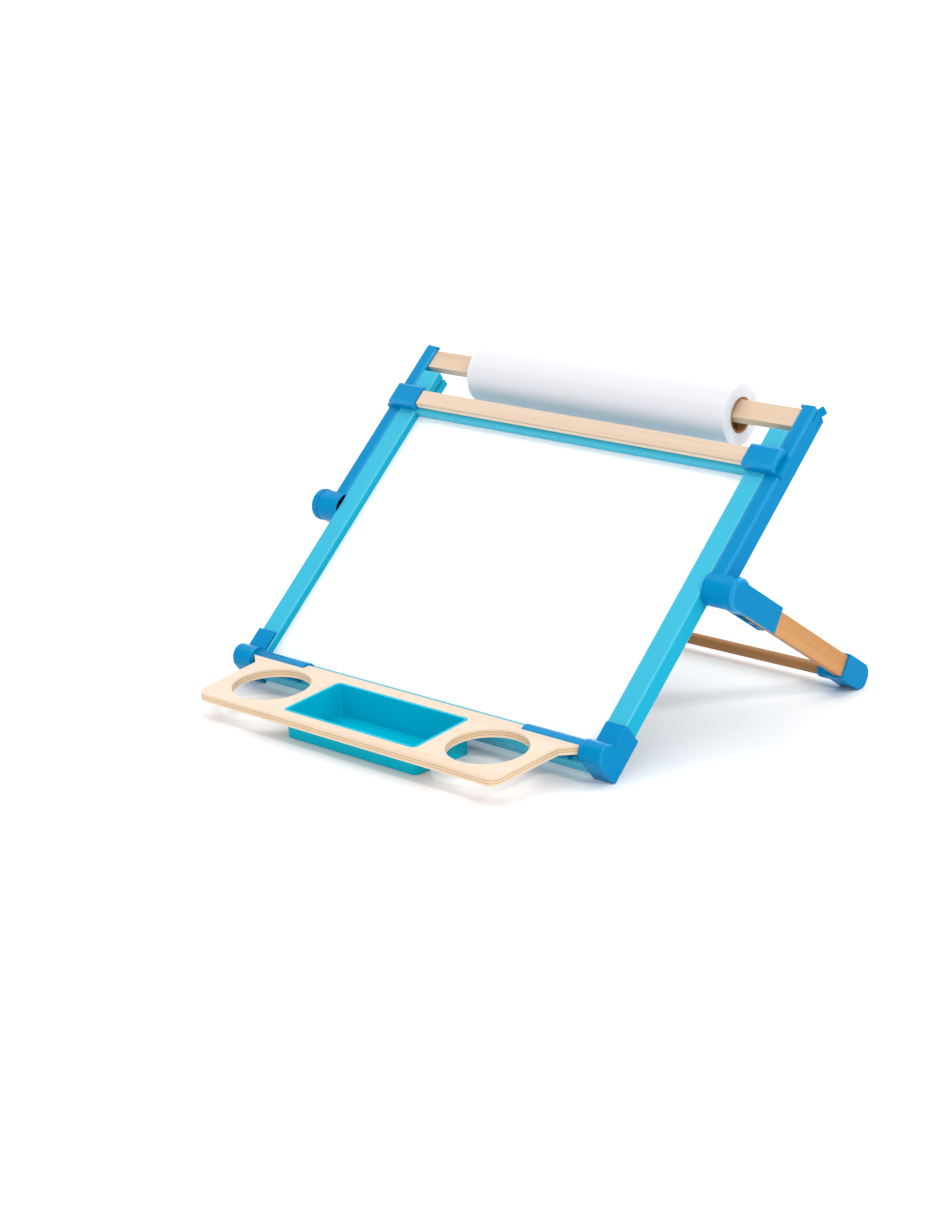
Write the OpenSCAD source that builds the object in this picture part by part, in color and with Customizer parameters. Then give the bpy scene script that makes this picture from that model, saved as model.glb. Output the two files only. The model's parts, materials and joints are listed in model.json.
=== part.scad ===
// Tabletop drawing easel: a framed two-sided board (magnetic dry-erase face in
// front, chalk face behind) leaning back on a folding leg frame, with a paper
// roll on a lift-out bar, a paper clamp bar and a hinged plywood tray that
// holds a drop-in tub.
//
// World frame: +X to the viewer's right, +Y to the back, +Z up, millimetres.
// The origin is on the desk, under the middle of the object's box.
// Most pieces are drawn in the board frame (x, v, w): x to the right, v up the
// board, w out of its front face. board() carries that frame into the world.

/* [Stance] */
// Lean of the board back from the vertical, in degrees
tilt = 47.9; // [46:0.1:50]
// Forward droop of the tray below the level, in degrees
tray_droop = 4.9; // [3:0.1:7]

/* [Frame] */
// Half distance between the inner faces of the side rails
rail_in = 196; // [190:1:202]
// Face width of a side rail
rail_w = 20.8; // [19:0.2:23]
// Thickness of the side rails
rail_t = 20; // [19:0.2:20.4]
// Top end of the side rails
rail_top = 321; // [316:1:325]
// Bottom end of the side rails
rail_bottom = -43; // [-43.4:0.1:-42.6]
// Front face of the board, behind the rails' front plane
panel_face = 8.4; // [8:0.1:9]
// Thickness of the three-layer board
panel_t = 3.1; // [2.6:0.1:3.6]

/* [Roll and clamp bars] */
// Width of the wooden roll bar
bar_w = 20.7; // [20:0.1:21.5]
// Thickness of the wooden roll bar
bar_t = 9; // [8.6:0.1:9.2]
// Outer radius of the paper roll
roll_r = 29.4; // [24:0.2:32]
// Length of the paper roll
roll_len = 304.8; // [280:0.2:320]
// Inner radius of the roll's cardboard core
core_r = 15; // [14.6:0.1:15.4]

/* [Legs] */
// Distance from the leg pivot to the tip of the foot
leg_len = 258.6; // [252:0.2:264]
// Width of the wooden leg
leg_w = 21; // [20:0.1:21.4]
// Thickness of the wooden leg
leg_t = 9; // [8:0.1:9.4]
// Radius of the crossbar between the feet
dowel_r = 5.9; // [5:0.1:6.4]

/* [Tray] */
// Depth of the tray from its back edge to its front edge
tray_d = 101.3; // [99:0.1:104]
// Thickness of the plywood tray
tray_t = 8.4; // [8:0.1:9]
// Radius of the two round cup holes
cup_r = 36.45; // [34:0.05:37.5]
// Gap between the tub's level floor and the desk
tub_floor = 0.4; // [0.2:0.1:6]

/* [Hidden] */
$fn = 64;

sky = "#43C3E2";
blue = "#0092D2";
birch = "#F0D9BF";
beech = "#D9A06B";
zinc = "#B9BEC4";

e = 0.01;
rail_out = rail_in + rail_w;
// height of the board frame's origin, and the world y of its origin
h0 = 46.7;
y0 = -107.8;
// section of the bottom rail and place of the top rail
low_top = -20.2;
low_front = -5.8;
top_lo = 270.7;
top_hi = 290.5;
// knuckle axis on the corner brackets, and its radii
kv = -34;
kw = 4.2;
knuckle_r = 11.2;
barrel_r = 9.6;
pin_r = 2.5;
// leg pivot, mid-length and mid-thickness of the board
hub_v = 152;
hub_w = -10.4;
hub_r = 15;
hub_x = 242.35;
disc_r = 15.6;
arm_out = 231.4;
arm_back = -21.7;
arm_top = 351;
// guide block and clamp bar
blk_lo = 271.5;
blk_hi = 295;
blk_h = 9.6;
clamp_lo = 274.9;
clamp_hi = 291.9;
clamp_face = 8.4;
// roll bar, resting in the arm slots
bar_v = 327.6;
bar_f = -3;
// the roll's core hangs on the rounded front edges of the bar
bar_round = 0.6;
roll_v = bar_v + bar_w / 2;
roll_w = bar_f - bar_round - sqrt(pow(core_r - 0.1 - bar_round, 2) - pow(bar_w / 2 - bar_round, 2));
roll_x = -1.6;
core_t = 2;
// legs: the lower corner arc of the foot stands on the desk
foot_c = -1.4;
foot_half = 12.5;
foot_arc = 11.5;
foot_sink = 0.35;
arc_a = leg_len - foot_arc;
arc_c = foot_half - foot_arc - foot_c;
hub_z = hub_v * cos(tilt) + hub_w * sin(tilt) + h0;
leg_down = asin((hub_z - foot_arc + foot_sink) / norm([arc_a, arc_c])) - atan2(arc_c, arc_a);
// angle of the leg in the board frame, from +v towards +w
leg_ang = -(leg_down + (90 - tilt));
fold = 180 + leg_ang;
leg_x1 = 247.8;
leg_x0 = leg_x1 - leg_t;
leg_c = -1.3;
dowel_a = 240.5;
dowel_c = -3.8;
// tray frame: back upper edge of the plywood, and its turn about x
tray_v = -28.2;
tray_w0 = 9.0;
tray_rot = tray_droop - (90 - tilt);
ax_u = (kv - tray_v) * -cos(tray_rot) + (kw - tray_w0) * -sin(tray_rot);
ax_h = (kv - tray_v) * -sin(tray_rot) + (kw - tray_w0) * cos(tray_rot);
tab_half = 193.5;
cup_x = 128.3;
cup_u = 51.7;

// ---- frames of reference -------------------------------------------------
module board() { translate([0, y0, h0]) rotate([90 - tilt, 0, 0]) children(); }
module both() { children(); mirror([1, 0, 0]) children(); }
// prism along x from a (v, w) outline
module xp(x0, x1) { translate([x0, 0, 0]) rotate([90, 0, 90]) linear_extrude(x1 - x0) children(); }
// prism along v from an (x, w) outline
module vp(v0, v1) { translate([0, v1, 0]) rotate([90, 0, 0]) linear_extrude(v1 - v0) children(); }
// prism along w from an (x, v) outline
module wp(w0, w1) { translate([0, 0, w0]) linear_extrude(w1 - w0) children(); }
module box(a, b) { translate(a) cube(b - a); }
module xcyl(x0, x1, v, w, r) { translate([x0, v, w]) rotate([0, 90, 0]) cylinder(h = x1 - x0, r = r); }
module wcyl(w0, w1, x, v, r) { translate([x, v, w0]) cylinder(h = w1 - w0, r = r); }
module rrect(a, b, r) {
  translate([a[0] + r, a[1]]) square([b[0] - a[0] - 2 * r, b[1] - a[1]]);
  translate([a[0], a[1] + r]) square([b[0] - a[0], b[1] - a[1] - 2 * r]);
  for (x = [a[0] + r, b[0] - r], y = [a[1] + r, b[1] - r]) translate([x, y]) circle(r);
}
// leg frame: (x, along, across) with the pivot at its origin
module leg_frame() { translate([0, hub_v, hub_w]) rotate([leg_ang, 0, 0]) children(); }
// tray frame: (x, -u, h), u forward from the back edge, h above the top face
module tray_frame() { translate([0, tray_v, tray_w0]) rotate([tray_rot, 0, 0]) children(); }
module desk() { translate([-320, -320, -40]) cube([640, 640, 40]); }

// ---- screws: head outwards, along x (d = 1 right, -1 left) ------------------
module screw_x(x, v, w, len, d, r = 1.75, hr = 3.5, hh = 1.9) {
  translate([x, v, w]) rotate([0, 90 * d, 0]) { cylinder(h = hh, r = hr); cylinder(h = len, r = r); }
}
module screw_w(w, x, v, len, r = 1.75, hr = 3.5, hh = 1.9) {
  translate([x, v, w]) { cylinder(h = hh, r = hr); cylinder(h = len, r = r); }
}
// drive recess cut in a head that faces -x (d = 1) or +x (d = -1), or -w
module drive_x(x, v, w, d) {
  for (a = [0, 90]) translate([x, v, w]) rotate([a, 0, 0]) translate([d > 0 ? -e : -1.0 + e, -1.6, -0.35]) cube([1.0, 3.2, 0.7]);
}
module drive_w(w, x, v) {
  for (a = [0, 90]) translate([x, v, w]) rotate([0, 0, a]) translate([-1.6, -0.35, -e]) cube([3.2, 0.7, 1.0]);
}

frame_v = [278, -32];
arm_v = [190, 225, 262];
brk_v = [-8, -22];
module frame_screw_solid() { for (v = frame_v) screw_x(rail_out - 0.1, v, -15.4, 40, -1); }
module arm_screw_solid() { for (v = arm_v) screw_x(rail_in + 0.1, v, -15.8, 29, 1); }
module bracket_screw_solid() { for (v = brk_v) screw_w(-25.1, 209, v, 15.5); }
module block_screw_solid() { screw_w(-rail_t + 0.1, 209, 291, 26); }

// ---- frame -----------------------------------------------------------------
module side_rail() {
  difference() {
    vp(rail_bottom, rail_top) difference() {
      rrect([rail_in, -rail_t], [rail_out, 0], 1.6);
      translate([rail_in - 1, -panel_face - panel_t - 0.1]) square([7.2, panel_t + 0.2]);
    }
    frame_screw_solid();
    arm_screw_solid();
    bracket_screw_solid();
    block_screw_solid();
    for (v = frame_v) xcyl(rail_out - 2.2, rail_out + 1, v, -15.4, 3.8);
  }
}
module right_side_rail() color(sky) board() side_rail();
module left_side_rail() color(sky) board() mirror([1, 0, 0]) side_rail();

module top_rail() color(sky) board() difference() {
  xp(-rail_in, rail_in) difference() {
    rrect([top_lo, -rail_t], [top_hi, 0], 1.6);
    translate([top_lo - 1, -panel_face - panel_t - 0.1]) square([7.2, panel_t + 0.2]);
  }
  both() frame_screw_solid();
}
module bottom_rail() color(sky) board() difference() {
  xp(-rail_in, rail_in) difference() {
    rrect([rail_bottom, -rail_t], [low_top, low_front], 1.2);
    translate([low_top - 6.2, -panel_face - panel_t - 0.1]) square([7.2, panel_t + 0.2]);
  }
  both() frame_screw_solid();
}
pan_x = rail_in + 5.7;
pan_v0 = low_top - 5.7;
pan_v1 = top_lo + 5.7;
module panel(w0, w1) { box([-pan_x, pan_v0, w0], [pan_x, pan_v1, w1]); }
module whiteboard_panel() color("#FAFAFA") board() panel(-panel_face - 1.5, -panel_face);
module steel_sheet() color("#9AA0A6") board() panel(-panel_face - 1.9, -panel_face - 1.5);
module chalkboard_panel() color("#26302C") board() panel(-panel_face - panel_t, -panel_face - 1.9);
module frame_screws() color(zinc) board() both() difference() {
  frame_screw_solid();
  for (v = frame_v) drive_x(rail_out - 0.1, v, -15.4, -1);
}
module arm_screws() color(zinc) board() both() difference() {
  arm_screw_solid();
  for (v = arm_v) drive_x(rail_in + 0.1, v, -15.8, 1);
}
module bracket_screws() color(zinc) board() both() difference() {
  bracket_screw_solid();
  for (v = brk_v) drive_w(-25.1, 209, v);
}
module block_screws() color(zinc) board() both() difference() {
  block_screw_solid();
  drive_w(-rail_t + 0.1, 209, 291);
}

// ---- corner bracket: cup round the rail's foot, with the tray knuckle --------
module corner_bracket() {
  difference() {
    board() difference() {
      union() {
        box([197, rail_bottom - 2.5, -23.2], [218.8, -1, 2]);
        xcyl(196, 218.8, kv, kw, knuckle_r);
        xp(197, 218.8) polygon([[-20.5, 0], [-21.5, 2], [-26, 7], [-45.2, 7], [-45.5, -4], [-40, -4]]);
      }
      box([195, rail_bottom, -rail_t], [rail_out, 1, 0]);
      xcyl(195, 207.5, kv, kw, pin_r + 0.1);
      bracket_screw_solid();
    }
    desk();
  }
}
module right_corner_bracket() color(blue) corner_bracket();
module left_corner_bracket() color(blue) mirror([1, 0, 0]) corner_bracket();

// ---- arm: hub for the leg, hollow beam along the rail, slot for the bar ------
stop_w = 24;
stop_mid = 60;
module arm() {
  slot_v = bar_v - 0.2;
  difference() {
    union() {
      intersection() {
        vp(hub_v, arm_top) rrect([rail_out, arm_back], [arm_out, 0], 2.2);
        wp(arm_back - 1, 1) { rrect([rail_out, hub_v - 4], [arm_out, arm_top], 2.4); translate([rail_out, hub_v - 1]) square([arm_out - rail_out, 40]); }
      }
      vp(hub_v, arm_top - 12) translate([rail_out, arm_back + 1.2]) square([3, -arm_back - 2.4]);
      xcyl(rail_out + 0.2, hub_x, hub_v, hub_w, hub_r);
      // lip at the top of the slot's front wall
      box([rail_out - 1.4, arm_top - 2.6, -2.85], [rail_out + 1, arm_top - 0.2, 0]);
    }
    // slot for the end of the roll bar, open at the top and towards the roll
    box([rail_out - 1, slot_v, bar_f - bar_t - 0.15], [228.9, arm_top + 1, bar_f + 0.15]);
    // the snap tongue: slits beside it and a thin gap behind it
    box([227.4, 338, -15.5], [228.9, arm_top + 1, -4.5]);
    for (w = [-5.5, -15.5]) box([228, 338, w], [arm_out + 1, arm_top + 1, w + 1]);
    // moulded pockets, closed by the side rail
    for (p = [[172, 184], [196, 219], [231, 256], [268, 300]])
      box([rail_out - 1, p[0], -19], [228.9, p[1], -2.6]);
    arm_screw_solid();
    // moulded pocket round the pivot, split by ribs
    translate([rail_out - 1, hub_v, hub_w]) rotate([90, 0, 90]) difference() {
      linear_extrude(14) difference() { circle(13.5); circle(8.4); }
      for (a = [30 : 60 : 330]) rotate([0, 0, a]) translate([0, -0.8, -1]) cube([15, 1.6, 16]);
    }
    // pivot bore and counterbore
    xcyl(rail_out - 1, hub_x + 1, hub_v, hub_w, 3.1);
    xcyl(rail_out - 1, 221.5, hub_v, hub_w, 6.2);
    // arc slot that stops the leg
    translate([hub_x - 3, hub_v, hub_w]) rotate([90, 0, 90]) rotate([0, 0, stop_mid - fold - stop_w / 2 - 0.4])
      rotate_extrude(angle = fold + stop_w + 0.8) translate([9, 0]) square([3.2, 4]);
  }
  // flared tip of the snap tongue
  wp(-14.5, -5.5) polygon([[228.9, arm_top - 4], [arm_out, arm_top - 4], [arm_out, arm_top - 1], [234.4, arm_top + 3],
    [234.4, arm_top + 4.8], [232.6, arm_top + 4.8], [228.9, arm_top - 0.2]]);
}
module right_arm() color(blue) board() arm();
module left_arm() color(blue) board() mirror([1, 0, 0]) arm();

// ---- guide block over rail and arm, with the pocket for the clamp bar --------
module guide_block() {
  difference() {
    union() {
      intersection() {
        xp(194, 228) rrect([blk_lo, -6], [blk_hi + 1.5, blk_h], 3.4);
        vp(blk_lo, blk_hi + 1.5) rrect([186, -6], [228, blk_h], 2.6);
        wp(0, blk_h) rrect([194, blk_lo], [228, blk_hi + 1.5], 2.2);
      }
      box([226, blk_lo, 0], [232.9, blk_hi - 2.5, 1.6]);
      box([arm_out + 0.05, blk_lo, -4.5], [232.9, blk_hi - 2.5, 1.6]);
    }
    box([193, 278, 2], [203, 289, 7]);
    block_screw_solid();
  }
}
module right_guide_block() color(blue) board() guide_block();
module left_guide_block() color(blue) board() mirror([1, 0, 0]) guide_block();

// ---- clamp bar with a tenon at each end; paper slides between it and the rail --
module clamp_bar() color(birch) board() {
  difference() {
    xp(-193.4, 193.4) rrect([clamp_lo, 0.9], [clamp_hi, clamp_face], 1.2);
    box([-194, clamp_lo - 0.4, 5.6], [194, clamp_lo + 0.35, 6.0]);
  }
  both() box([193, 278, 2], [202.8, 289, 7]);
}

// ---- roll bar and roll ---------------------------------------------------------
module roll_bar() color("#EFD4B3") board()
  xp(-227.8, 227.8) rrect([bar_v, bar_f - bar_t], [bar_v + bar_w, bar_f], bar_round);
module roll_core() color("#9E744A") board() difference() {
  xcyl(roll_x - roll_len / 2 + 0.3, roll_x + roll_len / 2 - 0.3, roll_v, roll_w, core_r + core_t);
  xcyl(roll_x - roll_len, roll_x + roll_len, roll_v, roll_w, core_r);
}
module paper_roll() color("#F2F2F6") board() difference() {
  xcyl(roll_x - roll_len / 2, roll_x + roll_len / 2, roll_v, roll_w, roll_r);
  xcyl(roll_x - roll_len, roll_x + roll_len, roll_v, roll_w, core_r + core_t);
}

// ---- leg socket: disc on the hub, channel round the wooden leg ------------------
sock_in = 231.9;
sock_end = 72;
sock_scr = [50, 63];
module wood_leg() { box([leg_x0, 30, leg_c + 0.0 - leg_w / 2], [leg_x1, 242, leg_c + leg_w / 2]); }
module socket_screw_solid() { for (a = sock_scr) screw_x(sock_in - 1.9, a, leg_c, 14.5, 1); }
module pivot_screw_solid() { screw_x(217.2, 0, 0, 29.8, 1, 3, 5.5, 3.4); }
module leg_socket() {
  leg_frame() difference() {
    union() {
      // disc with a rounded rim
      translate([242.6, 0, 0]) rotate([0, 90, 0]) rotate_extrude() {
        square([disc_r, 4.4]);
        square([disc_r - 3, 7.4]);
        translate([disc_r - 3, 4.4]) circle(3);
      }
      difference() {
        union() {
          box([247.2, 0, -13], [250, sock_end, 12.1]);
          box([sock_in, 8, -13], [250, sock_end, 12.1]);
        }
        xcyl(sock_in - 1, 242.6, 0, 0, 15.7);
        // channel, open below
        box([234, 20, -14], [leg_x1 + e, sock_end + 1, leg_c + leg_w / 2]);
      }
      // webs between the channel wall and the leg
      for (a = [[20, 22], [46, 54], [59, 67], [70, sock_end]])
        box([233.9, a[0], -12.4], [leg_x0, a[1], leg_c + leg_w / 2 + 0.1]);
      box([233.9, 20, -12.4], [leg_x1 + 0.1, 22, leg_c + leg_w / 2 + 0.1]);
      // stop lug that runs in the hub's arc slot
      translate([hub_x - 2.75, 0, 0]) rotate([90, 0, 90]) rotate([0, 0, stop_mid - leg_ang - stop_w / 2])
        rotate_extrude(angle = stop_w) translate([9.25, 0]) square([2.7, 3.2]);
    }
    wood_leg();
    xcyl(242, 247.6, 0, 0, 4.5);
    socket_screw_solid();
  }
}
module right_leg_socket() color(blue) board() leg_socket();
module left_leg_socket() color(blue) board() mirror([1, 0, 0]) leg_socket();

foot_scr = 222;
module foot_screw_solid() { screw_x(228.6 + 0.1, foot_scr, leg_c, 16, 1); }
module one_leg() {
  leg_frame() difference() { wood_leg(); socket_screw_solid(); foot_screw_solid(); }
}
module right_leg() color(beech) board() one_leg();
module left_leg() color(beech) board() mirror([1, 0, 0]) one_leg();

// ---- foot: cap on the leg's end with the boss that holds the crossbar -----------
module foot() {
  difference() {
    board() leg_frame() difference() {
      union() {
        intersection() {
          xp(228.6, 250) {
            translate([212.5, foot_c - foot_half]) square([arc_a - 212.5, 2 * foot_half]);
            translate([220, foot_c - foot_half + foot_arc]) square([leg_len - 220, 2 * (foot_half - foot_arc)]);
            for (s = [-1, 1]) translate([arc_a, foot_c + s * (foot_half - foot_arc)]) circle(foot_arc);
          }
          vp(200, 270) rrect([228.6, -20], [250, 20], 1.2);
        }
        xcyl(208.8, 230, dowel_a, dowel_c, 7.7);
      }
      wood_leg();
      xcyl(200, 232, dowel_a, dowel_c, dowel_r);
      foot_screw_solid();
    }
    desk();
  }
}
module right_foot() color(blue) foot();
module left_foot() color(blue) mirror([1, 0, 0]) foot();
module crossbar() color("#A9744A") board() leg_frame() xcyl(-232, 232, dowel_a, dowel_c, dowel_r);

module pivot_screws() color(zinc) board() both() leg_frame() difference() {
  pivot_screw_solid();
  translate([217.2 - e, 0, 0]) rotate([0, 90, 0]) cylinder(h = 2, r = 2.3, $fn = 6);
}
module pivot_washers() color("#8F959B") board() both() leg_frame() difference() {
  xcyl(220.65, 221.45, 0, 0, 5.8);
  xcyl(220, 222, 0, 0, 3.2);
}
module threaded_inserts() color("#C9A24B") board() both() leg_frame() difference() {
  xcyl(242.7, 247.6, 0, 0, 4.5);
  xcyl(242, 247.1, 0, 0, 3.0);
}
module socket_screws() color(zinc) board() both() leg_frame() difference() {
  socket_screw_solid();
  for (a = sock_scr) drive_x(sock_in - 1.9, a, leg_c, 1);
}
module foot_screws() color(zinc) board() both() leg_frame() difference() {
  foot_screw_solid();
  drive_x(228.6 + 0.1, foot_scr, leg_c, 1);
}

// ---- tray ------------------------------------------------------------------------
strip_x = [138, 154, 170];
module strip_screw_solid() {
  for (x = strip_x) translate([x, 4.0 + 1.9, -4.2]) rotate([90, 0, 0]) { cylinder(h = 1.9, r = 3); cylinder(h = 16, r = 1.5); }
}
module tray_board() color("#F3DFC8") board() tray_frame() difference() {
  r = 9;
  cu = tray_d - r;
  cx = 175 + 5 * r / (tray_d - 20) - r;
  translate([0, 0, -tray_t]) linear_extrude(tray_t) difference() {
    polygon([[0, 0], [tab_half, 0], [tab_half, -8], [180, -20], [175, -tray_d],
      [-175, -tray_d], [-180, -20], [-tab_half, -8], [-tab_half, 0]]);
    // rounded front corners
    for (s = [1, -1]) difference() {
      translate([s > 0 ? cx : -cx - r - 1, -cu - r - 1]) square([r + 1, r + 1]);
      translate([s * cx, -cu]) circle(r);
    }
    for (s = [1, -1]) translate([s * cup_x, -cup_u]) circle(cup_r, $fn = 96);
    rrect([-77, -88], [77, -16], 4.6);
  }
  // rebate for the tub's rim
  translate([0, 0, -1.7]) linear_extrude(2) rrect([-78.4, -89.4], [78.4, -14.6], 5.8);
  both() strip_screw_solid();
  // room for the hinge barrel's core at the tabs
  both() translate([178, -ax_u, ax_h]) rotate([0, 90, 0]) cylinder(h = 20, r = 4.2);
}
// strip: round barrel on the knuckle's axis, wrapped over the tray's back edge
module hinge_strip() {
  tray_frame() difference() {
    union() {
      difference() {
        translate([130, -ax_u, ax_h]) rotate([0, 90, 0]) cylinder(h = 65.6, r = barrel_r);
        // the plywood, and everything in front of it below the top face
        translate([120, -30, -30]) cube([tab_half - 120, 30, 30]);
        translate([120, -30, -30]) cube([100, 50, 30 - 11.5]);
        translate([120, -30, -30]) cube([100, 30 - 6, 30 - tray_t]);
      }
      translate([180, -ax_u, ax_h]) rotate([0, 90, 0]) cylinder(h = 15.6, r = 4);
    }
    translate([183, -ax_u, ax_h]) rotate([0, 90, 0]) cylinder(h = 20, r = pin_r);
    strip_screw_solid();
    for (x = strip_x) translate([x, 20, -4.2]) rotate([90, 0, 0]) cylinder(h = 14, r = 3.2);
  }
  // heel that rests on the bottom rail and holds the tray level
  xp(142, 178) translate([kv, kw]) polygon([[-1, -3.9], [2.5, -5.5], [4, -8.3],
    [0, low_front - kw + 0.05], [-8, low_front - kw + 0.05], [-9, -4.5], [-4, -3.2]]);
}
module right_hinge_strip() color(blue) board() hinge_strip();
module left_hinge_strip() color(blue) board() mirror([1, 0, 0]) hinge_strip();
module hinge_pins() color(zinc) board() both() xcyl(183, 207, kv, kw, pin_r);
module strip_screws() color(zinc) board() tray_frame() both() difference() {
  strip_screw_solid();
  for (x = strip_x, a = [0, 90]) translate([x, 5.9 + e, -4.2]) rotate([0, a, 0]) translate([-1.5, -1, -0.35]) cube([3, 1, 0.7]);
}
// tub: straight walls, rim flush with the tray's top, floor level with the desk
module above(z) { translate([-100, -260, z]) cube([200, 150, 80]); }
module tub_prism(h, a, r) { board() tray_frame() translate([0, 0, -60]) linear_extrude(60 + h) rrect([-a[0], -a[2]], [a[0], -a[1]], r); }
module tray_tub() color("#18BBDD") difference() {
  union() {
    board() tray_frame() translate([0, 0, -1.6]) linear_extrude(1.65) rrect([-78.1, -89.1], [78.1, -14.9], 5.5);
    intersection() { tub_prism(-1, [76.7, 16.3, 87.7], 4.3); above(tub_floor); }
  }
  intersection() { tub_prism(1, [75.2, 17.8, 86.2], 3); above(tub_floor + 1.8); }
}

left_side_rail();
right_side_rail();
top_rail();
bottom_rail();
whiteboard_panel();
steel_sheet();
chalkboard_panel();
frame_screws();
left_corner_bracket();
right_corner_bracket();
bracket_screws();
left_arm();
right_arm();
arm_screws();
left_guide_block();
right_guide_block();
block_screws();
clamp_bar();
roll_bar();
roll_core();
paper_roll();
left_leg_socket();
right_leg_socket();
left_leg();
right_leg();
left_foot();
right_foot();
crossbar();
pivot_screws();
pivot_washers();
threaded_inserts();
socket_screws();
foot_screws();
tray_board();
left_hinge_strip();
right_hinge_strip();
hinge_pins();
strip_screws();
tray_tub();
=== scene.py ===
import bpy
import bmesh
import json
import math
import random
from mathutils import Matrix, Quaternion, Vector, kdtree
from mathutils.bvhtree import BVHTree


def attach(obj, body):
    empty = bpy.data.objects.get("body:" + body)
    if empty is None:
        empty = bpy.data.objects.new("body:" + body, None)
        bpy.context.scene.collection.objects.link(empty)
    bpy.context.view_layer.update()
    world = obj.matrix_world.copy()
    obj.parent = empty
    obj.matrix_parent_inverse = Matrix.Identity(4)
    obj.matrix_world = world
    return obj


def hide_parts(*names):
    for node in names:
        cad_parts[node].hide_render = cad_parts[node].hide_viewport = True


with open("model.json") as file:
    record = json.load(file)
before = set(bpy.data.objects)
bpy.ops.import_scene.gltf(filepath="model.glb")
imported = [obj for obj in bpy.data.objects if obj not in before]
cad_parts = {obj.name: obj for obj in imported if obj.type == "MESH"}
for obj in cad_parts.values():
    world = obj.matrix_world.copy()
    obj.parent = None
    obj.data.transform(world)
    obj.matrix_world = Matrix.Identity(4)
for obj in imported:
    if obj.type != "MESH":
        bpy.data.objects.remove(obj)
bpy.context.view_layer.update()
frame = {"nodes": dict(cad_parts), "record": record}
NODES = frame["nodes"]
BODY = {n: b for b, ns in frame["record"]["behaviour"]["bodies"].items() for n in ns}
scene = bpy.context.scene

# ---------------------------------------------------------------- frames
# board frame: x right, v up the board, w out of its front face (millimetres)
TILT = math.radians(47.9)
ST, CT = math.sin(TILT), math.cos(TILT)
ORG = (0.0, -107.8, 46.7)


def board(x, v, w):
    return Vector((x, v * ST - w * CT + ORG[1], v * CT + w * ST + ORG[2])) * 0.001


LEAN = 42.1                      # turn of the board frame about x, degrees
LEG_TURN = -31.11                # the leg frame's
TRAY_TURN = 4.9                  # the tray frame's
HUB = board(0, 152, -10.4)
TRAY0 = board(0, -28.2, 9.0)
ROLL0 = board(-1.6, 337.95, -14.0608)

# ---------------------------------------------------------------- camera
cam_data = bpy.data.cameras.new("camera")
cam_data.sensor_fit = "AUTO"
cam_data.sensor_width = 36.0
cam_data.lens = 71.162
cam_data.clip_start, cam_data.clip_end = 0.05, 200.0
cam = bpy.data.objects.new("camera", cam_data)
scene.collection.objects.link(cam)
cam.location = (1.350353, -1.664470, 0.738722)
cam.rotation_mode = "QUATERNION"
cam.rotation_quaternion = Quaternion((0.755487, 0.558881, 0.204115, 0.274277))
scene.camera = cam


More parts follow.
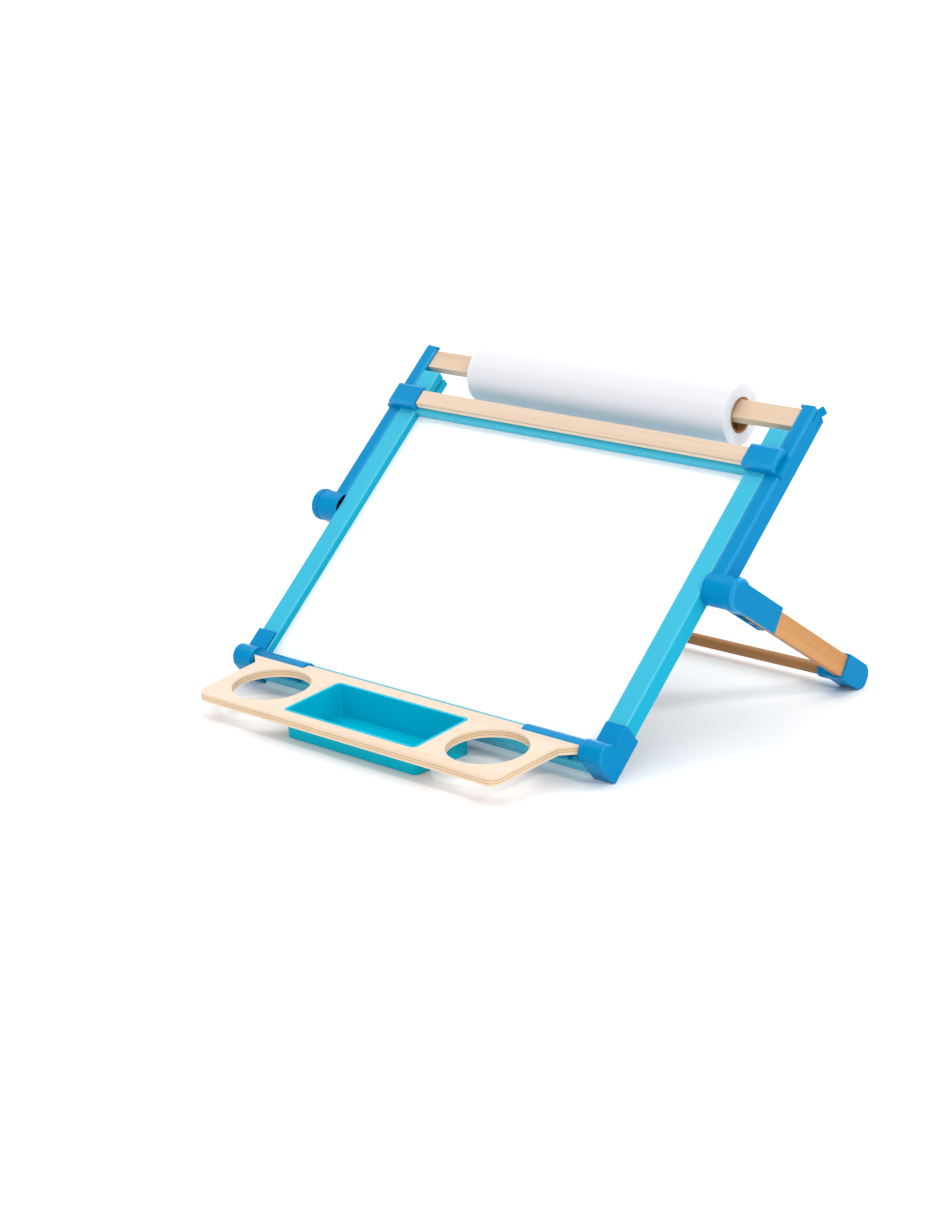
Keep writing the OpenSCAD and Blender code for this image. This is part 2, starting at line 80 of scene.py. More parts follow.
# ---------------------------------------------------------------- shader nets
class Net:
    """A material with a Principled shader and short calls for procedural nodes."""

    def __init__(self, name, turn=0.0, origin=(0, 0, 0)):
        self.mat = bpy.data.materials.new(name)
        self.mat.use_nodes = True
        self.tree = self.mat.node_tree
        self.tree.nodes.clear()
        out = self.tree.nodes.new("ShaderNodeOutputMaterial")
        self.bsdf = self.tree.nodes.new("ShaderNodeBsdfPrincipled")
        self.tree.links.new(self.bsdf.outputs[0], out.inputs[0])
        self.tc = self.tree.nodes.new("ShaderNodeTexCoord")
        shift = self.mapping(self.tc.outputs["Object"], loc=[-c for c in origin])
        self.at = self.mapping(shift, rot=(math.radians(-turn), 0, 0))

    def mapping(self, vec, loc=(0, 0, 0), rot=(0, 0, 0), scale=(1, 1, 1)):
        n = self.tree.nodes.new("ShaderNodeMapping")
        n.inputs["Location"].default_value = loc
        n.inputs["Rotation"].default_value = rot
        n.inputs["Scale"].default_value = scale
        self.tree.links.new(vec, n.inputs["Vector"])
        return n.outputs["Vector"]

    def put(self, socket, value):
        if isinstance(value, bpy.types.NodeSocket):
            self.tree.links.new(value, socket)
        else:
            socket.default_value = value

    def noise(self, scale, size=1.0, detail=3.0, rough=0.5, distort=0.0, vec=None, shift=0.0):
        v = self.mapping(vec or self.at, loc=(shift, shift * 1.7, shift * 0.6),
                         scale=scale if isinstance(scale, tuple) else (scale,) * 3)
        n = self.tree.nodes.new("ShaderNodeTexNoise")
        n.inputs["Scale"].default_value = size
        n.inputs["Detail"].default_value = detail
        n.inputs["Roughness"].default_value = rough
        n.inputs["Distortion"].default_value = distort
        self.tree.links.new(v, n.inputs["Vector"])
        return n.outputs["Fac"]

    def line_noise(self, value, scale, detail=2.0):
        n = self.tree.nodes.new("ShaderNodeTexNoise")
        n.noise_dimensions = "1D"
        n.inputs["Scale"].default_value = scale
        n.inputs["Detail"].default_value = detail
        self.tree.links.new(value, n.inputs["W"])
        return n.outputs["Fac"]

    def cells(self, scale, vec=None):
        v = self.mapping(vec or self.at, scale=scale if isinstance(scale, tuple) else (scale,) * 3)
        n = self.tree.nodes.new("ShaderNodeTexVoronoi")
        n.inputs["Scale"].default_value = 1.0
        self.tree.links.new(v, n.inputs["Vector"])
        return n.outputs["Distance"]

    def axis(self, which, vec=None):
        n = self.tree.nodes.new("ShaderNodeSeparateXYZ")
        self.tree.links.new(vec or self.at, n.inputs[0])
        return n.outputs[which]

    def op(self, kind, a, b=0.0, c=0.0, clamp=False):
        n = self.tree.nodes.new("ShaderNodeMath")
        n.operation = kind
        n.use_clamp = clamp
        for s, value in zip(n.inputs, (a, b, c)):
            self.put(s, value)
        return n.outputs[0]

    def ramp(self, fac, stops, smooth=False):
        n = self.tree.nodes.new("ShaderNodeValToRGB")
        cr = n.color_ramp
        cr.interpolation = "EASE" if smooth else "LINEAR"
        while len(cr.elements) < len(stops):
            cr.elements.new(0.5)
        for el, (pos, col) in zip(cr.elements, stops):
            el.position = pos
            el.color = (col, col, col, 1) if isinstance(col, (int, float)) else (*col, 1)
        self.put(n.inputs["Fac"], fac)
        return n.outputs["Color"]

    def level(self, fac, lo, hi, out_lo, out_hi):
        n = self.tree.nodes.new("ShaderNodeMapRange")
        n.clamp = True
        for name, value in (("Value", fac), ("From Min", lo), ("From Max", hi), ("To Min", out_lo), ("To Max", out_hi)):
            self.put(n.inputs[name], value)
        return n.outputs["Result"]

    def mix(self, fac, a, b, blend="MIX"):
        n = self.tree.nodes.new("ShaderNodeMix")
        n.data_type = "RGBA"
        n.blend_type = blend
        ins = [s for s in n.inputs if s.type == "RGBA"]
        fs = [s for s in n.inputs if s.name == "Factor" and s.type == "VALUE"][0]
        self.put(fs, fac)
        for s, value in zip(ins, (a, b)):
            self.put(s, (*value, 1) if isinstance(value, tuple) and len(value) == 3 else value)
        return [s for s in n.outputs if s.type == "RGBA"][0]

    def bump(self, height, strength, distance, normal=None):
        n = self.tree.nodes.new("ShaderNodeBump")
        n.inputs["Strength"].default_value = strength
        n.inputs["Distance"].default_value = distance
        self.put(n.inputs["Height"], height)
        if normal is not None:
            self.tree.links.new(normal, n.inputs["Normal"])
        return n.outputs["Normal"]

    def end(self, color=None, rough=None, normal=None, **fixed):
        if color is not None:
            self.put(self.bsdf.inputs["Base Color"], color)
        if rough is not None:
            self.put(self.bsdf.inputs["Roughness"], rough)
        if normal is not None:
            self.put(self.bsdf.inputs["Normal"], normal)
        for k, v in fixed.items():
            self.bsdf.inputs[k.replace("_", " ")].default_value = v
        return self.mat


def shade(c, f):
    return tuple(min(1.0, x * f) for x in c)


def lin(hexcode):
    out = []
    for i in (1, 3, 5):
        c = int(hexcode[i:i + 2], 16) / 255
        out.append(c / 12.92 if c <= 0.04045 else ((c + 0.055) / 1.055) ** 2.4)
    return tuple(out)


SKY = (0.038, 0.435, 0.610)
BLUE = (0.0, 0.232, 0.495)
# lighter than BLUE: a painted highlight for the rounds of the blue mouldings
BLUE_PAINTED_HIGHLIGHT = (0.003, 0.262, 0.550)


def paint(name, along, level=0.16, tint=(0.45, 0.9, 1.0, 1.0), base=SKY):
    """Satin-gloss paint on wood: the grain only just shows under the film."""
    n = Net(name, turn=LEAN, origin=ORG_M)
    stretch = {"x": (3.0, 260.0, 260.0), "v": (260.0, 3.0, 260.0)}[along]
    patch = n.noise(11.0, detail=2)
    grain = n.noise(stretch, detail=4, rough=0.6)
    peel = n.noise(700.0, detail=1)
    color = n.ramp(patch, [(0.3, shade(base, 0.985)), (0.7, shade(base, 1.015))])
    color = n.mix(n.level(grain, 0.35, 0.75, 0.0, 0.05), color, shade(base, 0.8))
    rough = n.level(n.noise(60.0, detail=3), 0.3, 0.7, 0.26, 0.33)
    bump = n.bump(grain, 0.25, 0.00007)
    bump = n.bump(peel, 0.05, 0.00005, bump)
    return n.end(color, rough, bump, Specular_IOR_Level=level, Specular_Tint=tint)


def plastic(name, col, rough=0.32, turn=LEAN, origin=(0, 0, 0), grain=0.25, level=0.13, tint=(0.10, 0.62, 0.95, 1.0)):
    """Moulded plastic: spark-eroded fine texture, faint flow variation."""
    n = Net(name, turn=turn, origin=origin)
    flow = n.noise((7.0, 10.0, 10.0), detail=3, distort=0.6)
    tex = n.noise(2600.0, detail=2, rough=0.6)
    soft = n.noise(90.0, detail=2)
    color = n.ramp(flow, [(0.25, shade(col, 0.975)), (0.75, shade(col, 1.02))])
    color = n.mix(n.level(tex, 0.35, 0.7, 0.0, 0.04), color, shade(col, 0.75))
    r = n.level(n.noise(80.0, detail=3), 0.3, 0.7, rough - 0.03, rough + 0.04)
    bump = n.bump(soft, 0.03, 0.0003)
    bump = n.bump(tex, grain, 0.00002, bump)
    return n.end(color, r, bump, Specular_IOR_Level=level, Specular_Tint=tint)


ORG_M = tuple(c * 0.001 for c in ORG)


def wood_color(n, light, mid, dark, along, seed, contrast=1.0, pores=0.3, vec=None):
    """Colour and height sockets of a fine-grained wood whose fibres run along an axis."""
    def st(a, b):
        return {"x": (a, b, b), "y": (b, a, b)}[along]
    broad = n.noise(st(2.6, 62.0), detail=4, rough=0.55, distort=0.35, vec=vec, shift=seed)
    streak = n.noise(st(7.0, 330.0), detail=4, rough=0.62, distort=0.15, vec=vec, shift=seed + 3)
    fibre = n.noise(st(38.0, 1900.0), detail=2, rough=0.6, vec=vec, shift=seed + 7)
    flecks = n.noise(st(150.0, 1500.0), detail=1, vec=vec, shift=seed + 11)
    color = n.ramp(broad, [(0.28, light), (0.52, mid), (0.80, dark)])
    color = n.mix(n.level(streak, 0.40, 0.78, 0.0, 0.55 * contrast), color, dark)
    color = n.mix(n.level(streak, 0.60, 0.25, 0.0, 0.35 * contrast), color, light)
    color = n.mix(n.level(fibre, 0.45, 0.75, 0.0, 0.25 * contrast), color, shade(dark, 0.82))
    color = n.mix(n.level(flecks, 0.66, 0.78, 0.0, pores), color, shade(dark, 0.6))
    height = n.op("ADD", n.op("MULTIPLY", streak, 0.6), n.op("MULTIPLY", fibre, 0.4))
    return color, height, broad


def wood(name, light, mid, dark, along, seed, turn=0.0, origin=(0, 0, 0), contrast=1.0, pores=0.3, rough=0.42):
    n = Net(name, turn=turn, origin=origin)
    color, height, broad = wood_color(n, light, mid, dark, along, seed, contrast, pores)
    r = n.level(broad, 0.3, 0.7, rough - 0.04, rough + 0.07)
    bump = n.bump(height, 0.35, 0.00010)
    return n.end(color, r, bump, Specular_IOR_Level=0.25)


def clamp_wood(name):
    """The clamp bar: pale wood, its underside painted lighter as painted light, and a fine brown line along its lower
    front edge painted as shade in the groove.
    """
    n = Net(name, turn=LEAN, origin=ORG_M)
    color, height, broad = wood_color(n, (0.715, 0.560, 0.435), (0.680, 0.520, 0.390), (0.585, 0.410, 0.280), "x", 2.0, 0.5, 0.08)
    # the lower face is mixed toward a pale wood colour: painted light on the underside
    under = n.op("MULTIPLY", n.op("LESS_THAN", n.axis("Y"), 0.2758), n.op("LESS_THAN", n.axis("Z"), 0.0068))
    color = n.mix(under, color, n.mix(0.75, color, (0.95, 0.80, 0.63)))
    # a dark brown line along the groove at the lower front edge, broken by noise: painted shade in the groove
    near = n.op("MULTIPLY", n.op("LESS_THAN", n.axis("Y"), 0.2762),
                n.level(n.op("ABSOLUTE", n.op("SUBTRACT", n.axis("Z"), 0.0071)), 0.0002, 0.0006, 0.9, 0.0))
    broken = n.level(n.noise((60.0, 20.0, 20.0), detail=3), 0.30, 0.60, 0.45, 0.85)
    color = n.mix(n.op("MULTIPLY", near, broken), color, (0.360, 0.190, 0.095))
    r = n.level(broad, 0.3, 0.7, 0.38, 0.5)
    bump = n.bump(height, 0.35, 0.00010)
    return n.end(color, r, bump, Specular_IOR_Level=0.25)


def plywood(name):
    """Birch plywood: face veneers above and below, and the plies seen on every edge."""
    n = Net(name, turn=TRAY_TURN, origin=tuple(TRAY0))
    light, mid, dark = (0.815, 0.660, 0.535), (0.780, 0.620, 0.488), (0.690, 0.515, 0.380)
    face, height, broad = wood_color(n, light, mid, dark, "x", 5.0, 0.5, 0.08)
    wobble = n.op("MULTIPLY", n.op("SUBTRACT", n.noise((40.0, 40.0, 10.0), detail=2), 0.5), 0.0007)
    h = n.op("ADD", n.op("ADD", n.axis("Z"), 0.0084), wobble)          # 0 at the bottom, 8.4 mm on top
    core = n.op("MULTIPLY", n.op("GREATER_THAN", h, 0.0027), n.op("LESS_THAN", h, 0.0057))
    outer = n.noise((16.0, 16.0, 1400.0), detail=3, rough=0.6)
    ends = n.noise((700.0, 700.0, 500.0), detail=3, rough=0.7)
    plies = n.mix(core, n.mix(n.level(outer, 0.35, 0.7, 0.0, 1.0), (0.860, 0.700, 0.530), (0.790, 0.610, 0.430)),
                  n.mix(n.level(ends, 0.35, 0.7, 0.0, 1.0), (0.790, 0.590, 0.390), (0.690, 0.480, 0.290)))
    lines = None
    for at, wide in ((0.0027, 0.00034), (0.0057, 0.00038), (0.0072, 0.00016), (0.0013, 0.00014)):
        one = n.level(n.op("ABSOLUTE", n.op("SUBTRACT", h, at)), wide * 0.6, wide * 1.5, 1.0 if wide > 0.0003 else 0.45, 0.0)
        lines = one if lines is None else n.op("MAXIMUM", lines, one)
    patch = n.level(n.noise((30.0, 30.0, 30.0), detail=3), 0.3, 0.65, 0.50, 0.95)
    plies = n.mix(n.op("MULTIPLY", lines, patch), plies, (0.520, 0.300, 0.145))
    inside = n.op("MULTIPLY", n.op("GREATER_THAN", n.axis("Z"), -0.0080), n.op("LESS_THAN", n.axis("Z"), -0.0004))
    color = n.mix(inside, face, plies)
    r = n.level(broad, 0.3, 0.7, 0.40, 0.52)
    bump = n.bump(height, 0.3, 0.00010)
    bump = n.bump(n.op("MULTIPLY", inside, n.op("MULTIPLY", lines, -1.0)), 0.3, 0.00012, bump)
    return n.end(color, r, bump, Specular_IOR_Level=0.25)


def dry_erase(name):
    n = Net(name, turn=LEAN, origin=ORG_M)
    haze = n.noise((5.0, 22.0, 5.0), detail=4, rough=0.6, distort=0.8)
    color = n.ramp(haze, [(0.3, (0.965, 0.965, 0.967)), (0.75, (0.95, 0.952, 0.957))])
    rough = n.level(haze, 0.3, 0.75, 0.13, 0.22)
    bump = n.bump(n.noise(420.0, detail=2), 0.04, 0.00005)
    return n.end(color, rough, bump, Coat_Weight=0.3, Coat_Roughness=0.06)


def chalk(name):
    n = Net(name, turn=LEAN, origin=ORG_M)
    dust = n.noise((9.0, 30.0, 9.0), detail=5, rough=0.65, distort=1.2)
    fine = n.noise(1500.0, detail=2, rough=0.7)
    color = n.ramp(dust, [(0.3, (0.018, 0.025, 0.022)), (0.62, (0.028, 0.037, 0.033)), (0.85, (0.055, 0.064, 0.06))])
    color = n.mix(n.level(fine, 0.5, 0.8, 0.0, 0.25), color, (0.07, 0.08, 0.075))
    bump = n.bump(fine, 0.5, 0.00006)
    return n.end(color, n.level(dust, 0.3, 0.8, 0.78, 0.95), bump, Specular_IOR_Level=0.25)


def paper(name):
    n = Net(name, turn=LEAN, origin=tuple(ROLL0))
    fibres = n.noise(2400.0, detail=3, rough=0.65)
    wave = n.noise((5.0, 34.0, 34.0), detail=2)
    y, z = n.axis("Y"), n.axis("Z")
    radius = n.op("SQRT", n.op("ADD", n.op("MULTIPLY", y, y), n.op("MULTIPLY", z, z)))
    rings = n.line_noise(radius, 9000.0, 3.0)
    white = (0.740, 0.738, 0.770)
    color = n.mix(n.level(rings, 0.40, 0.72, 0.0, 0.30), white, shade(white, 0.84))
    color = n.mix(n.level(fibres, 0.4, 0.7, 0.0, 0.10), color, shade(white, 0.93))
    bump = n.bump(wave, 0.12, 0.0016)
    bump = n.bump(rings, 0.4, 0.00012, bump)
    bump = n.bump(fibres, 0.25, 0.00003, bump)
    return n.end(color, n.level(fibres, 0.3, 0.7, 0.80, 0.92), bump, Specular_IOR_Level=0.25,
                 Subsurface_Weight=0.35, Subsurface_Scale=0.012, Subsurface_Radius=(1.0, 1.0, 1.0))


def card(name):
    n = Net(name, turn=LEAN, origin=tuple(ROLL0))
    fibres = n.noise((260.0, 900.0, 900.0), detail=4, rough=0.7)
    y, z, x = n.axis("Y"), n.axis("Z"), n.axis("X")
    turn = n.op("DIVIDE", n.op("ARCTAN2", z, y), 2 * math.pi)
    helix = n.op("FRACT", n.op("ADD", n.op("MULTIPLY", x, 1 / 0.062), turn))
    seam = n.op("LESS_THAN", helix, 0.03)
    color = n.ramp(fibres, [(0.3, lin("#A97F55")), (0.7, lin("#8A633F"))])
    color = n.mix(n.op("MULTIPLY", seam, 0.6), color, lin("#5E3F25"))
    bump = n.bump(fibres, 0.5, 0.0001)
    bump = n.bump(n.op("MULTIPLY", seam, -1.0), 0.6, 0.00025, bump)
    return n.end(color, n.level(fibres, 0.3, 0.7, 0.85, 0.95), bump, Specular_IOR_Level=0.2)


def metal(name, col, rough):
    n = Net(name)
    cloud = n.noise(700.0, detail=3, rough=0.6)
    lines = n.noise((300.0, 5200.0, 5200.0), detail=2)
    color = n.ramp(cloud, [(0.3, shade(col, 0.86)), (0.7, shade(col, 1.06))])
    r = n.level(cloud, 0.3, 0.7, rough - 0.07, rough + 0.1)
    bump = n.bump(lines, 0.18, 0.00004)
    return n.end(color, r, bump, Metallic=1.0)


M = {
    "sky_v": paint("sky_paint_upright", "v"),
    # the cross rails get a lighter base colour than SKY: painted light, lifting the top rail out of the clamp bar's
    # shadow
    "sky_x": paint("sky_paint_cross", "x", base=(0.050, 0.490, 0.670)),
    # the uprights' side faces get a darker base colour than SKY: painted shade, with a lower gloss
    "sky_v_side_shaded": paint("sky_paint_upright_side_shaded", "v", 0.03, base=(0.008, 0.405, 0.590)),
    # the upright rails' rounds are painted lighter than SKY: a painted highlight, with a glossier finish
    "sky_v_edge": paint("sky_paint_upright_edge", "v", 0.35, (0.9, 1.0, 1.0, 1.0), (0.050, 0.465, 0.640)),
    "sky_x_edge": paint("sky_paint_cross_edge", "x", 0.35, (0.9, 1.0, 1.0, 1.0), (0.055, 0.480, 0.660)),
    # the blue rounds of frame and legs are painted lighter than BLUE: a painted highlight
    "blue_edge": plastic("blue_moulding_edge", BLUE_PAINTED_HIGHLIGHT, 0.24, level=0.5, tint=(0.35, 0.82, 1.0, 1.0)),
    "blue_leg_edge": plastic("blue_moulding_leg_edge", BLUE_PAINTED_HIGHLIGHT, 0.24, LEG_TURN, tuple(HUB), level=0.35, tint=(0.35, 0.82, 1.0, 1.0)),
    "blue_tray_edge": plastic("blue_moulding_tray_edge", BLUE, 0.24, TRAY_TURN, tuple(TRAY0), level=0.2, tint=(0.2, 0.75, 1.0, 1.0)),
    "blue_side": plastic("blue_moulding_side", BLUE, level=0.03),
    # shade(BLUE, 0.94) darkens the leg mouldings' side faces: painted shade
    "blue_leg_side_shaded": plastic("blue_moulding_leg_side_shaded", shade(BLUE, 0.94), turn=LEG_TURN, origin=tuple(HUB), level=0.03),
    "blue": plastic("blue_moulding", BLUE),
    "blue_leg": plastic("blue_moulding_leg", BLUE, turn=LEG_TURN, origin=tuple(HUB)),
    "blue_tray": plastic("blue_moulding_tray", BLUE, turn=TRAY_TURN, origin=tuple(TRAY0)),
    "tub": plastic("tub_moulding", (0.0, 0.480, 0.640), 0.28, turn=TRAY_TURN, origin=tuple(TRAY0), grain=0.15,
                   tint=(0.30, 0.85, 1.0, 1.0)),
    "white": dry_erase("dry_erase_film"),
    "chalk": chalk("chalk_surface"),
    "steel": metal("sheet_steel", (0.52, 0.54, 0.56), 0.32),
    "clamp": clamp_wood("birch_clamp_bar"),
    "rollbar": wood("birch_roll_bar", (0.705, 0.540, 0.400), (0.670, 0.498, 0.350), (0.570, 0.390, 0.250), "x", 9.0, LEAN, ORG_M, 0.5, 0.1),
    "leg": wood("beech_leg", (0.620, 0.305, 0.098), (0.570, 0.262, 0.078), (0.465, 0.192, 0.050), "y", 14.0, LEG_TURN, tuple(HUB), 0.55, 0.4),
    # the legs' narrow faces are darker than the broad ones: painted shade
    "leg_narrow_shaded": wood("beech_leg_narrow", (0.530, 0.225, 0.058), (0.490, 0.195, 0.047), (0.400, 0.142, 0.030), "y", 14.0, LEG_TURN, tuple(HUB), 0.55, 0.4),
    "dowel": wood("beech_crossbar", (0.480, 0.230, 0.088), (0.405, 0.183, 0.064), (0.305, 0.125, 0.040), "x", 21.0, LEG_TURN, tuple(HUB), 0.6, 0.4),
    "ply": plywood("birch_plywood"),
    "paper": paper("drawing_paper"),
    "card": card("core_card"),
    "zinc": metal("zinc_plate", (0.62, 0.64, 0.66), 0.3),
    "brass": metal("plain_brass", (0.72, 0.52, 0.22), 0.3),
}


# rounds get a glossier finish than the flats beside them, and on the blue frame and leg mouldings and the upright rails
# a lighter base colour too: a painted highlight
EDGE = {"blue": "blue_edge", "blue_leg": "blue_leg_edge", "blue_tray": "blue_tray_edge", "sky_v": "sky_v_edge", "sky_x": "sky_x_edge"}
# faces turned to the side get a lower gloss; the upright rails' and leg mouldings' side faces and the legs' narrow
# faces are also painted darker: painted shade
SIDE = {"blue": "blue_side", "blue_leg": "blue_leg_side_shaded", "sky_v": "sky_v_side_shaded", "leg": "leg_narrow_shaded"}


# ---------------------------------------------------------------- geometry
def across(face, loop, point):
    """Distance from a point on a loop's edge straight across the face to its far side."""
    a, b = loop.vert.co, loop.link_loop_next.vert.co
    d = b - a
    if d.length < 1e-9:
        return 0.0
    d.normalize()
    q = face.normal.cross(d)
    best = 1e9
    for other in face.loops:
        if other is loop:
            continue
        pa, pb = other.vert.co - point, other.link_loop_next.vert.co - point
        ya, yb = pa.dot(d), pb.dot(d)
        xa, xb = pa.dot(q), pb.dot(q)
        if (ya > 0) == (yb > 0) and abs(ya) > 1e-9 and abs(yb) > 1e-9:
            continue
        if abs(yb - ya) < 1e-12:
            continue
        s = xa + (xb - xa) * (-ya) / (yb - ya)
        if 1e-7 < s < best:
            best = s
    return best


def edge_room(edge):
    """How wide a round may be on this edge before it meets something across either face."""
    room = 1e9
    a, b = edge.verts[0].co, edge.verts[1].co
    for loop in edge.link_loops:
        for t in (0.12, 0.5, 0.88):
            room = min(room, across(loop.face, loop, a.lerp(b, t)))
    return room


def copy_of(node, name=None, weld=2e-6, flat=0.7):
    bm = bmesh.new()
    bm.from_mesh(NODES[node].data)
    bmesh.ops.remove_doubles(bm, verts=bm.verts, dist=weld)
    bmesh.ops.dissolve_limit(bm, angle_limit=math.radians(flat), verts=bm.verts, edges=bm.edges,
                             use_dissolve_boundaries=False)
    bm.normal_update()
    return bm


def rounded(bm, name, width, segments):
    """The mesh with its weighted edges rounded."""
    me = bpy.data.meshes.new(name)
    bm.to_mesh(me)
    me.materials.append(M["zinc"])
    me.materials.append(M["zinc"])
    o = bpy.data.objects.new(name, me)
    scene.collection.objects.link(o)
    mod = o.modifiers.new("round", "BEVEL")
    mod.material = 1
    mod.limit_method = "WEIGHT"
    mod.width = width
    mod.segments = segments
    mod.profile = 0.5
    mod.use_clamp_overlap = False
    mod.miter_outer = "MITER_SHARP"
    mod.harden_normals = False
    dg = bpy.context.evaluated_depsgraph_get()
    made = bpy.data.meshes.new_from_object(o.evaluated_get(dg))
    bpy.data.objects.remove(o)
    bpy.data.meshes.remove(me)
    return made


def finish_mesh(bm, name, mats, width, segments=3, angle=28.0, share=0.42, keep=None, third=None):
    """Rounds every sharp edge as far as it has room, up to width (metres)."""
    layer = bm.edges.layers.float.get("bevel_weight_edge") or bm.edges.layers.float.new("bevel_weight_edge")
    limit = math.radians(angle)
    for e in bm.edges:
        e[layer] = 0.0
        if len(e.link_faces) != 2 or e.calc_face_angle(0.0) < limit:
            continue
        want = width if keep is None else keep(e, width)
        if want <= 0:
            continue
        got = min(want, share * edge_room(e))
        if got > 0.00004:
            e[layer] = got / width
    tree = BVHTree.FromBMesh(bm)
    # where a round has run out of the solid or away from it, its edges get less
    for turn in range(7):
        made = rounded(bm, name, width, segments)
        bad = []
        for v in made.vertices:
            hit, normal, index, dist = tree.find_nearest(v.co)
            if hit is None:
                continue
            out = (v.co - hit).dot(normal)
            if (dist > 0.00003 and out > 0.6 * dist) or dist > 0.62 * width:
                bad.append(v.co.copy())
        if not bad or turn == 6:
            break
        near = kdtree.KDTree(len(bad))
        for i, co in enumerate(bad):
            near.insert(co, i)
        near.balance()
        reach = width * (2.5 + 1.5 * turn)
        for e in bm.edges:
            if e[layer] <= 0:
                continue
            a, b = e.verts[0].co, e.verts[1].co
            steps = max(2, min(40, int((b - a).length / reach) + 1))
            if any(near.find(a.lerp(b, i / steps))[2] < reach for i in range(steps + 1)):
                e[layer] = e[layer] * 0.5 if turn < 3 else 0.0
        bpy.data.meshes.remove(made)
    if bad:
        print("uneven rounds left on", name, len(bad))
    bm.free()
    made.name = name
    o = bpy.data.objects.new(name, made)
    scene.collection.objects.link(o)
    for i, m in enumerate(mats):
        if i < len(made.materials):
            made.materials[i] = m
        else:
            made.materials.append(m)
    for f in made.polygons:
        if f.material_index:
            continue
        span = max((made.vertices[a].co - made.vertices[b].co).length for a, b in f.edge_keys)
        if f.area < 0.0006 * span:
            f.material_index = 1          # a strip of a small moulded round
        elif len(mats) > 2 and third(f.normal):
            f.material_index = 2
    made.polygons.foreach_set("use_smooth", [True] * len(made.polygons))
    made.set_sharp_from_angle(angle=math.radians(40))
    wn = o.modifiers.new("even", "WEIGHTED_NORMAL")
    wn.keep_sharp = True
    wn.weight = 60
    even = o.evaluated_get(bpy.context.evaluated_depsgraph_get())
    normals = [n.vector.copy() for n in even.to_mesh().corner_normals]
    even.to_mesh_clear()
    o.modifiers.remove(wn)
    # wide flats stay perfectly flat in the light
    for f in made.polygons:
        if f.area < 0.0001:
            continue
        span = max((made.vertices[a].co - made.vertices[b].co).length for a, b in f.edge_keys)
        if f.area > 0.0025 * span:
            for i in f.loop_indices:
                normals[i] = f.normal.copy()
    made.normals_split_custom_set(normals)
    return o


def dress(node, mat, width, segments=3, angle=28.0, share=0.42, keep=None):
    """A rounded copy of a CAD node that stands for it."""
    mats = [M[mat], M[EDGE.get(mat, mat)]]
    if mat in SIDE:
        mats.append(M[SIDE[mat]])
    o = finish_mesh(copy_of(node), node + "_body", mats, width, segments, angle, share, keep,
                    (lambda n: abs(n.x) < 0.3) if mat == "leg" else (lambda n: abs(n.x) > 0.72))
    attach(o, BODY[node])
    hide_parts(node)
    return o


def ring_mesh(name, rings, closed, mat, cap=False):
    """A mesh from rings of points: each ring joined to the next, the last to the first if closed."""
    bm = bmesh.new()
    rows = [[bm.verts.new(p) for p in ring] for ring in rings]
    count = len(rows[0])
    for i in range(len(rows) if closed else len(rows) - 1):
        r0, r1 = rows[i], rows[(i + 1) % len(rows)]
        for j in range(count):
            bm.faces.new((r0[j], r0[(j + 1) % count], r1[(j + 1) % count], r1[j]))
    if cap:
        bm.faces.new(list(reversed(rows[0])))
        bm.faces.new(rows[-1])
    bmesh.ops.recalc_face_normals(bm, faces=bm.faces)
    me = bpy.data.meshes.new(name)
    bm.to_mesh(me)
    bm.free()
    o = bpy.data.objects.new(name, me)
    scene.collection.objects.link(o)
    me.materials.append(M[mat])
    me.polygons.foreach_set("use_smooth", [True] * len(me.polygons))
    me.set_sharp_from_angle(angle=math.radians(38))
    return o


def make_paper_roll():
    """Wound paper: a loose outer end, and layers that stand a little unevenly at both ends."""
    rnd = random.Random(7)
    half, inner, outer = 304.8 / 2, 17.02, 29.4
    seg = 192
    start = math.radians(205)          # where the free edge of the sheet lies, low at the back
    layers = 30
    prof = []
    for side in (1, -1):
        pts = []
        for i in range(layers + 1):
            r = inner + (outer - 0.15 - inner) * i / layers
            dip = rnd.uniform(0.0, 0.22) * (0.3 if i in (0, layers) else 1.0)
            pts.append((r, side * (half - dip)))
            if i < layers:
                step = (outer - 0.15 - inner) / layers
                pts.append((r + step * 0.55, side * (half - dip - rnd.uniform(0.02, 0.08))))
        pts.append((outer, side * (half - 0.12)))
        prof.append(pts)
    section = prof[0] + list(reversed(prof[1]))
    rings = []
    for k in range(seg):
        t = k / seg
        a = start + 2 * math.pi * t
        ring = []
        for r, x in section:
            grow = (r - inner) / (outer - inner)
            rr = r - 0.28 * grow * (1 - t)      # the spiral: one sheet thinner just past its end
            wob = 0.05 * grow * math.sin(3 * a + 0.7)
            ring.append(roll_point(rr + wob - 0.05 * grow, a, x))
        rings.append(ring)
    o = ring_mesh("paper_roll_wound", rings, True, "paper")
    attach(o, BODY["paper_roll"])
    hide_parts("paper_roll")
    return o


def roll_point(r, a, x):
    v = r * math.cos(a)
    w = r * math.sin(a)
    return ROLL0 + Vector((x, v * ST - w * CT, v * CT + w * ST)) * 0.001


def make_core():
    half, inner, outer = 304.8 / 2 - 0.3, 15.02, 16.98
    section = [(inner, half - 0.35), (inner + 0.3, half), (outer - 0.3, half), (outer, half - 0.35),
               (outer, -half + 0.35), (outer - 0.3, -half), (inner + 0.3, -half), (inner, -half + 0.35)]
    rings = []
    for k in range(128):
        a = 2 * math.pi * k / 128
        rings.append([roll_point(r, a, x) for r, x in section])
    o = ring_mesh("roll_core_tube", rings, True, "card")
    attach(o, BODY["roll_core"])
    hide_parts("roll_core")
    return o


def leg_point(x, a, c):
    """Leg frame: x, along the leg from the pivot, across it."""
    ang = math.radians(-73.213)
    return board(x, 152 + a * math.cos(ang) - c * math.sin(ang), -10.4 + a * math.sin(ang) + c * math.cos(ang))


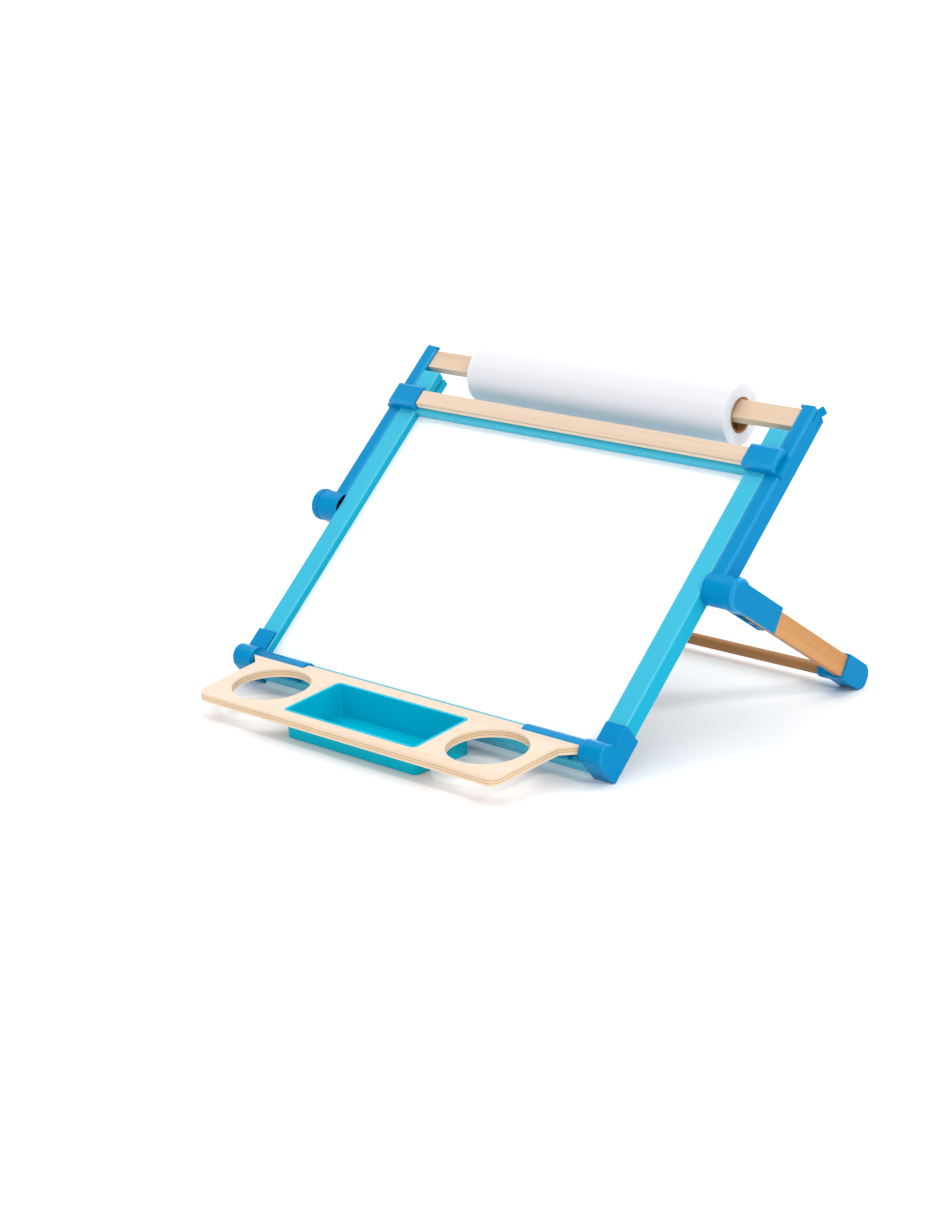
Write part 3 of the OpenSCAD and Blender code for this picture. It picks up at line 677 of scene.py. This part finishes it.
def make_crossbar():
    r = 5.9
    stops = [(-232, r - 0.7), (-231.3, r)] + [(-231.3 + 462.6 * i / 24, r) for i in range(1, 24)] + [(231.3, r), (232, r - 0.7)]
    rings = []
    for x, rr in stops:
        ring = []
        for k in range(72):
            a = 2 * math.pi * k / 72
            ring.append(leg_point(x, 240.5 + rr * math.cos(a), -3.8 + rr * math.sin(a)))
        rings.append(ring)
    o = ring_mesh("crossbar_dowel", rings, False, "dowel", cap=True)
    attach(o, BODY["crossbar"])
    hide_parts("crossbar")
    return o


# ---------------------------------------------------------------- the pieces
for side in ("left", "right"):
    dress(side + "_side_rail", "sky_v", 0.0012)
    dress(side + "_corner_bracket", "blue", 0.0011)
    dress(side + "_arm", "blue", 0.0009)
    dress(side + "_guide_block", "blue", 0.0013)
    dress(side + "_leg_socket", "blue_leg", 0.0010)
    dress(side + "_leg", "leg", 0.0009)
    dress(side + "_foot", "blue_leg", 0.0011)
    dress(side + "_hinge_strip", "blue_tray", 0.0009)
dress("top_rail", "sky_x", 0.0006)
dress("bottom_rail", "sky_x", 0.0006)
dress("whiteboard_panel", "white", 0.0003)
dress("chalkboard_panel", "chalk", 0.0003)
dress("clamp_bar", "clamp", 0.0008)
dress("roll_bar", "rollbar", 0.0010)
dress("tray_board", "ply", 0.0007)
dress("tray_tub", "tub", 0.0006, keep=lambda e, w: w if max(v.co.z for v in e.verts) > 0.0006 else 0.0)
for n in ("frame_screws", "arm_screws", "bracket_screws", "block_screws", "socket_screws", "foot_screws",
          "strip_screws", "pivot_screws", "hinge_pins", "pivot_washers"):
    dress(n, "zinc", 0.0003, segments=2)
dress("threaded_inserts", "brass", 0.0002, segments=2)
dress("steel_sheet", "steel", 0.0001, segments=1)
make_paper_roll()
make_core()
make_crossbar()

# ---------------------------------------------------------------- floor and light
fl = bpy.data.meshes.new("floor")
fl.from_pydata([(-60, -60, 0), (60, -60, 0), (60, 60, 0), (-60, 60, 0)], [], [(0, 1, 2, 3)])
floor = bpy.data.objects.new("floor", fl)
scene.collection.objects.link(floor)
fm = Net("floor_white")
fm.end((0.92, 0.92, 0.925, 1.0), 0.9, Specular_IOR_Level=0.0)
fl.materials.append(fm.mat)
floor.location = (0, 0, -0.00005)

world = bpy.data.worlds.new("studio")
scene.world = world
world.use_nodes = True
bg = world.node_tree.nodes["Background"]
bg.inputs["Color"].default_value = (0.97, 0.985, 1.0, 1)
bg.inputs["Strength"].default_value = 0.76


def sun(name, toward, part, angle, color=(1, 1, 1)):
    """A distant soft light; part is its share of the light on a face turned to it."""
    d = bpy.data.lights.new(name, "SUN")
    d.energy = part * math.pi
    d.angle = math.radians(angle)
    d.color = color
    o = bpy.data.objects.new(name, d)
    scene.collection.objects.link(o)
    o.rotation_mode = "QUATERNION"
    o.rotation_quaternion = Vector(toward).to_track_quat("Z", "Y")
    return o


sun("right_light", (0.707, -0.154, 0.69), 0.24, 8)
sun("top_light", (-0.42, 0.06, 0.90), 0.24, 42, (1.0, 0.995, 0.985))
sun("front_light", (0.32, -0.80, 0.50), 0.15, 50)
sun("back_light", (0.10, 0.80, 0.59), 0.42, 50)

scene.view_settings.view_transform = "Standard"
scene.view_settings.look = "None"
scene.view_settings.exposure = 0.0
